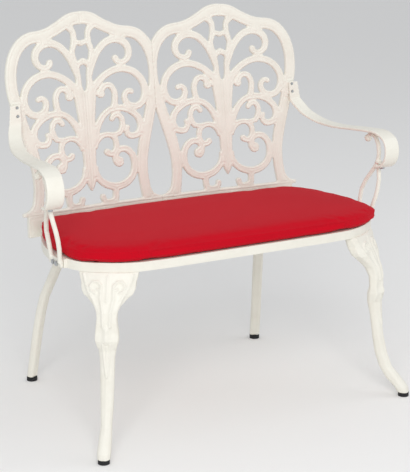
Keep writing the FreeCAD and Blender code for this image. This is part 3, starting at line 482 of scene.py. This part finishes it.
@dataclass
class CarvedLeg:
    """A cabriole leg with its cast leaf, rib and scrolls.

    The outer face is sunk by the ground, and the cast lines rise from it: relief
    multiplies their rise, and fade is how many widths away a line ends. The face_tilt
    is a cosine against the leg's outward direction, and the turn is in degrees.
    """

    node: str = "leg_front_left"
    turn: float = 35.0
    voxel: float = 1.5
    relief: float = 1.5
    ground: float = 1.2
    # Height in mm with how much wider the real leg's flared fins make it there.
    fins: tuple = ((0, 1.0), (24, 1.0), (69, 1.1), (160, 1.12), (205, 1.16), (218, 1.3),
                   (227, 1.3), (252, 1.15), (290, 1.06), (300, 1.1), (312, 1.29), (326, 1.68),
                   (334, 1.88), (343, 1.74), (358, 1.42), (380, 1.17))
    # Cast lines on the leg's outer face: across and height in mm, then width and rise.
    # Each of the paired lines has a mirror image on the other side of the middle.
    paired: tuple = (
        (((-52, 376), (-48, 360), (-41, 344), (-30, 328), (-22, 308), (-19, 290)), 2.6, 2.4),
        (((-19, 290), (-21, 268), (-23, 250), (-20, 226)), 2.6, 2.2),
        (((-26, 341), (-34, 344), (-37, 353), (-31, 362), (-21, 363), (-13, 355), (-13, 345),
          (-20, 348)), 2.4, 2.8),
        (((-13, 345), (-14, 332), (-11, 318), (-8, 304), (-8, 286), (-6, 274)), 2.8, 2.4),
        (((-8, 238), (-7, 222), (-5, 200), (-2, 176), (0, 166)), 2.4, 2.2),
    )
    central: tuple = (
        (((0, 372), (0, 350), (0, 326)), 3.4, 1.6),
        (((-9, 276), (-4, 271), (0, 275), (4, 271), (9, 276)), 2.4, 2.4),
        (((0, 268), (0, 256), (0, 248)), 6.5, 4.0),
        (((-7, 244), (0, 238), (7, 244)), 2.2, 2.0),
        (((0, 232), (0, 205), (0, 178)), 3.0, 1.8),
        (((0, 160), (0, 110), (0, 60)), 3.6, 1.0),
    )
    face_tilt: float = 0.05
    fade: float = 2.4

    def lines(self) -> list[tuple[list[Vector], float, float]]:
        """Lists every cast line, with the mirror images of the paired ones.

        Returns:
            For each line its points, width and rise.
        """
        mirrored = tuple((tuple((-x, z) for x, z in points), width, rise)
                         for points, width, rise in self.paired)
        return [([Vector((x, z, 0)) for x, z in points], width, rise)
                for points, width, rise in self.paired + mirrored + self.central]

    def build(self, dresser: Dresser) -> None:
        """Makes the left leg and its mirror image.

        Args:
            dresser: Gives meshes and finishes.
        """
        work = dresser.remeshed(dresser.node_mesh([self.node]), self.voxel)
        smooth(work, 3)
        self.flare(work)
        self.carve(work)
        smooth(work, 1, 0.35)
        twin = work.copy()
        bmesh.ops.scale(twin, vec=(-1, 1, 1), verts=twin.verts)
        bmesh.ops.reverse_faces(twin, faces=twin.faces)
        dresser.piece("FrontLegLeft", work, Body.FRAME, Slot.PAINT, [self.node])
        dresser.piece("FrontLegRight", twin, Body.FRAME, Slot.PAINT,
                      [self.node.replace("left", "right")])

    def axes(self) -> tuple[Vector, Vector, Vector]:
        """Gives the leg's own directions.

        Returns:
            Outward, across, and the middle of its foot.
        """
        turn = math.radians(self.turn)
        low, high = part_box("foot_plug_front_left")
        return (Vector((math.sin(turn), -math.cos(turn), 0)),
                Vector((math.cos(turn), math.sin(turn), 0)), (Vector(low) + Vector(high)) / 2)

    def flare(self, work: bmesh.types.BMesh) -> None:
        """Widens the leg into its fins, across its plane.

        Args:
            work: The leg's mesh.
        """
        _, across, foot = self.axes()
        for vert in work.verts:
            height = vert.co.z / MM
            factor = 1.0
            for (z0, f0), (z1, f1) in zip(self.fins, self.fins[1:]):
                if z0 <= height <= z1:
                    share = (height - z0) / (z1 - z0)
                    factor = f0 + (f1 - f0) * share
            vert.co += across * ((vert.co - foot).dot(across) * (factor - 1))

    def carve(self, work: bmesh.types.BMesh) -> None:
        """Raises the cast lines on the outer face.

        Args:
            work: The leg's mesh.
        """
        outward, across, foot = self.axes()
        lines = self.lines()
        work.normal_update()
        for vert in work.verts:
            facing = vert.normal.dot(outward)
            if facing < self.face_tilt:
                continue
            spot = Vector(((vert.co - foot).dot(across) / MM, vert.co.z / MM, 0))
            lift = 0.0
            for points, width, rise in lines:
                for start, end in zip(points, points[1:]):
                    near, share = intersect_point_line(spot, start, end)
                    near = start if share < 0 else end if share > 1 else near
                    gap = (spot - near).length
                    if gap < self.fade * width:
                        bump = math.exp(-((gap / width) ** 2))
                        lift = max(lift, self.relief * rise * bump)
            vert.co += vert.normal * ((lift - self.ground) * facing * MM)


@dataclass
class PlainCastings:
    """Castings whose shape is the drawing's, with softened edges.

    The last three values are degrees between neighbouring faces of the seat: up to
    flat_within they are joined, from sharp_from on their edge is shaded sharp, and from
    bevel_from on it is beveled.
    """

    # Piece, node, size of a quad in mm, passes of smoothing; each is there on both sides.
    pairs: tuple = (("Bracket", "arm_bracket", 1.6, 3), ("RearLeg", "leg_rear", 2.2, 2),
                    ("Arm", "arm", 1.5, 2))
    seat_bevel: float = 2.0
    bevel_steps: int = 3
    flat_within: float = 2.0
    sharp_from: float = 35.0
    bevel_from: float = 50.0

    def build(self, dresser: Dresser) -> None:
        """Makes the arms, brackets, rear legs and seat.

        Args:
            dresser: Gives meshes and finishes.
        """
        for name, stem, voxel, steps in self.pairs:
            for side in ("Left", "Right"):
                node = f"{stem}_{side.lower()}"
                work = dresser.remeshed(dresser.node_mesh([node]), voxel)
                smooth(work, steps)
                dresser.piece(name + side, work, Body.FRAME, Slot.PAINT, [node])
        work = dresser.node_mesh(["seat_casting"])
        bmesh.ops.dissolve_limit(work, angle_limit=math.radians(self.flat_within),
                                 verts=work.verts, edges=work.edges)
        seat = dresser.piece("LatticePlate", work, Body.FRAME, Slot.PAINT, ["seat_casting"])
        seat.data.set_sharp_from_angle(angle=math.radians(self.sharp_from))
        bevel = seat.modifiers.new("CastEdges", "BEVEL")
        bevel.width = self.seat_bevel * MM
        bevel.segments = self.bevel_steps
        bevel.limit_method = "ANGLE"
        bevel.angle_limit = math.radians(self.bevel_from)


@dataclass
class SeatCushion:
    """The loose boxed cushion: crowned, seamed and a little slack.

    It is shrunk by the inset before the cloth fills it, and the cap is the most that
    the cloth may move a point. The spill is how far it reaches past the drawn cushion
    at each end, in front and on top. Points lower than the skirt are pressed down, so
    that the underside lies flat. Seams are heights above the underside. The corner is
    how far a front corner is filled out, sideways and forwards; corner_from is where
    that begins, and corner_span is the length over which it grows.
    """

    node: str = "seat_cushion"
    voxel: float = 5.0
    inset: float = 1.75
    pressure: float = 4.0
    frames: int = 20
    cap: float = 9.0
    spill: tuple = (9.5, 8.0, 2.0)
    seams: tuple = (5.0, 24.5)
    seam_wide: float = 1.5
    seam_high: float = 1.8
    skirt: float = 9.0
    corner: tuple = (7.0, 7.0)
    corner_from: tuple = (280.0, 110.0)
    corner_span: tuple = (100.0, 80.0)
    seam_tilt: float = 0.5
    cut_weld: float = 0.001
    on_seam: float = 0.02

    def build(self, dresser: Dresser) -> None:
        """Makes the cushion and lets its cloth fill out.

        Args:
            dresser: Gives meshes and finishes.
        """
        work = dresser.remeshed(dresser.node_mesh([self.node]), self.voxel)
        smooth(work, 3)
        for vert in work.verts:
            vert.co -= vert.normal * (self.inset * MM)
        start = [v.co.copy() for v in work.verts]
        cushion = dresser.piece("Cushion", work, Body.CUSHION, Slot.FABRIC, [self.node])
        self.inflate(cushion, start)
        self.settle(cushion)
        self.sew(cushion)
        rounder = cushion.modifiers.new("Rounder", "SUBSURF")
        rounder.levels = 1
        rounder.render_levels = 1

    def inflate(self, cushion: bpy.types.Object, start: list[Vector]) -> None:
        """Runs the cloth and keeps its shape.

        Args:
            cushion: The piece.
            start: Its vertices before the cloth moves them.
        """
        cloth = cushion.modifiers.new("Canvas", "CLOTH")
        cloth.settings.use_pressure = True
        cloth.settings.uniform_pressure_force = self.pressure
        cloth.settings.effector_weights.gravity = 0.0
        for number in range(1, self.frames + 1):
            bpy.context.scene.frame_set(number)
        graph = bpy.context.evaluated_depsgraph_get()
        moved = [v.co.copy() for v in cushion.evaluated_get(graph).data.vertices]
        cushion.modifiers.remove(cloth)
        bpy.context.scene.frame_set(1)
        for vert, before, after in zip(cushion.data.vertices, start, moved):
            shift = after - before
            if shift.length > self.cap * MM:
                shift *= self.cap * MM / shift.length
            vert.co = before + shift
        reach = max((after - before).length for before, after in zip(start, moved))
        log.info("cloth moved a point by up to %.1f mm", reach / MM)

    def settle(self, cushion: bpy.types.Object) -> None:
        """Spreads the cushion over the seat's edge and seats it on its underside.

        Args:
            cushion: The piece.
        """
        low, high = (Vector(corner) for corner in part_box(self.node))
        side, front, top = (value * MM for value in self.spill)
        want_low = Vector((low.x - side, low.y - front, low.z))
        want_high = Vector((high.x + side, high.y, high.z + top))
        points = [v.co.copy() for v in cushion.data.vertices]
        have_low = Vector(min(p[axis] for p in points) for axis in range(3))
        have_high = Vector(max(p[axis] for p in points) for axis in range(3))
        for vert in cushion.data.vertices:
            for axis in range(3):
                share = (vert.co[axis] - have_low[axis]) / (have_high[axis] - have_low[axis])
                vert.co[axis] = want_low[axis] + share * (want_high[axis] - want_low[axis])
            self.square(vert)
            rise = vert.co.z - low.z
            if rise < self.skirt * MM:
                vert.co.z = low.z + rise * rise / (self.skirt * MM)
        cushion.data.update()

    def sew(self, cushion: bpy.types.Object) -> None:
        """Raises the seams where the boxing strip meets the top and the bottom.

        Args:
            cushion: The piece.
        """
        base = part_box(self.node)[0][2]
        work = bmesh.new()
        work.from_mesh(cushion.data)
        for height in self.seams:
            for step in (-1, 0, 1):
                level = base + (height + step * self.seam_wide) * MM
                bmesh.ops.bisect_plane(work, geom=work.verts[:] + work.edges[:] + work.faces[:],
                                       plane_co=(0, 0, level), plane_no=(0, 0, 1),
                                       dist=self.cut_weld * MM)
            work.normal_update()
            for vert in work.verts:
                off_seam = abs(vert.co.z - base - height * MM)
                outward = Vector((vert.normal.x, vert.normal.y, 0))
                if off_seam < self.on_seam * MM and outward.length > self.seam_tilt:
                    vert.co += outward.normalized() * (self.seam_high * MM)
        work.to_mesh(cushion.data)
        work.free()

    def square(self, vert: bpy.types.MeshVertex) -> None:
        """Fills out a front corner.

        Args:
            vert: One of the cushion's vertices.
        """
        reach = (abs(vert.co.x) / MM - self.corner_from[0]) / self.corner_span[0]
        ahead = (-vert.co.y / MM - self.corner_from[1]) / self.corner_span[1]
        weight = min(max(reach, 0.0), 1.0) * min(max(ahead, 0.0), 1.0)
        vert.co.x += math.copysign(self.corner[0] * weight * MM, vert.co.x)
        vert.co.y -= self.corner[1] * weight * MM


@dataclass
class Studio:
    """Plain pale floor, soft light and the camera.

    The camera's place and lens are millimetres and its angles are degrees; the lengths
    that follow them are in metres.
    """

    camera_at: tuple = (-1592.9, -2734.5, 1189.8)
    pitch: float = 14.45
    yaw: float = 30.39
    lens: float = 108.8
    view_end: float = 60.0
    floor: str = "#F3F2F0"
    floor_half: float = 30.0
    floor_roughness: float = 0.9
    sky: str = "#F4F6F9"
    sky_strength: float = 0.7
    # Lamp, its place and width in metres, and its watts.
    soft_lamps: tuple = (("Key", (-1.9, -3.3, 2.6), 2.4, 90.0),
                         ("Fill", (3.2, -1.2, 2.4), 2.6, 20.0))
    aim_at: tuple = (0, 0, 0.45)

    def build(self) -> None:
        """Sets the stage."""
        scene = bpy.context.scene
        scene.view_settings.view_transform = "Standard"
        data = bpy.data.cameras.new("Camera")
        data.lens = self.lens
        data.clip_end = self.view_end
        camera = bpy.data.objects.new("Camera", data)
        camera.location = Vector(self.camera_at) * MM
        camera.rotation_euler = (math.radians(90 - self.pitch), 0, -math.radians(self.yaw))
        scene.collection.objects.link(camera)
        scene.camera = camera
        self.ground()
        self.lamps()

    def ground(self) -> None:
        """Lays the pale floor."""
        work = bmesh.new()
        bmesh.ops.create_grid(work, x_segments=1, y_segments=1, size=self.floor_half)
        mesh = bpy.data.meshes.new("Floor")
        work.to_mesh(mesh)
        work.free()
        material = bpy.data.materials.new("PaleFloor")
        material.use_nodes = True
        shader = material.node_tree.nodes["Principled BSDF"]
        shader.inputs["Base Color"].default_value = linear(self.floor)
        shader.inputs["Roughness"].default_value = self.floor_roughness
        mesh.materials.append(material)
        floor = bpy.data.objects.new("Floor", mesh)
        bpy.context.scene.collection.objects.link(floor)

    def lamps(self) -> None:
        """Hangs a large soft key, a fill and an even sky."""
        world = bpy.data.worlds.new("Sky")
        world.use_nodes = True
        background = world.node_tree.nodes["Background"]
        background.inputs["Color"].default_value = linear(self.sky)
        background.inputs["Strength"].default_value = self.sky_strength
        bpy.context.scene.world = world
        for name, place, size, watts in self.soft_lamps:
            data = bpy.data.lights.new(name, "AREA")
            data.size = size
            data.energy = watts
            lamp = bpy.data.objects.new(name, data)
            lamp.location = place
            aim = Vector(self.aim_at) - Vector(place)
            lamp.rotation_euler = aim.to_track_quat("-Z", "Y").to_euler()
            bpy.context.scene.collection.objects.link(lamp)


def main() -> None:
    """Dresses every piece."""
    logging.basicConfig(level=logging.INFO, format="%(name)s: %(message)s")
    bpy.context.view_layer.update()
    dresser = Dresser({Slot.PAINT: PAINT.build(), Slot.RUBBER: RUBBER.build(),
                       Slot.FABRIC: CANVAS.build(), Slot.STEEL: ZINC.build()})
    slots = {part["node"]: Slot(part["material_slot"]) for part in frame["record"]["subparts"]}
    for node in frame["nodes"]:
        dresser.paint_node(node, slots[node])
    ScrollworkBack().build(dresser)
    CarvedLeg().build(dresser)
    PlainCastings().build(dresser)
    SeatCushion().build(dresser)
    Studio().build()


if __name__ == "__main__":
    main()
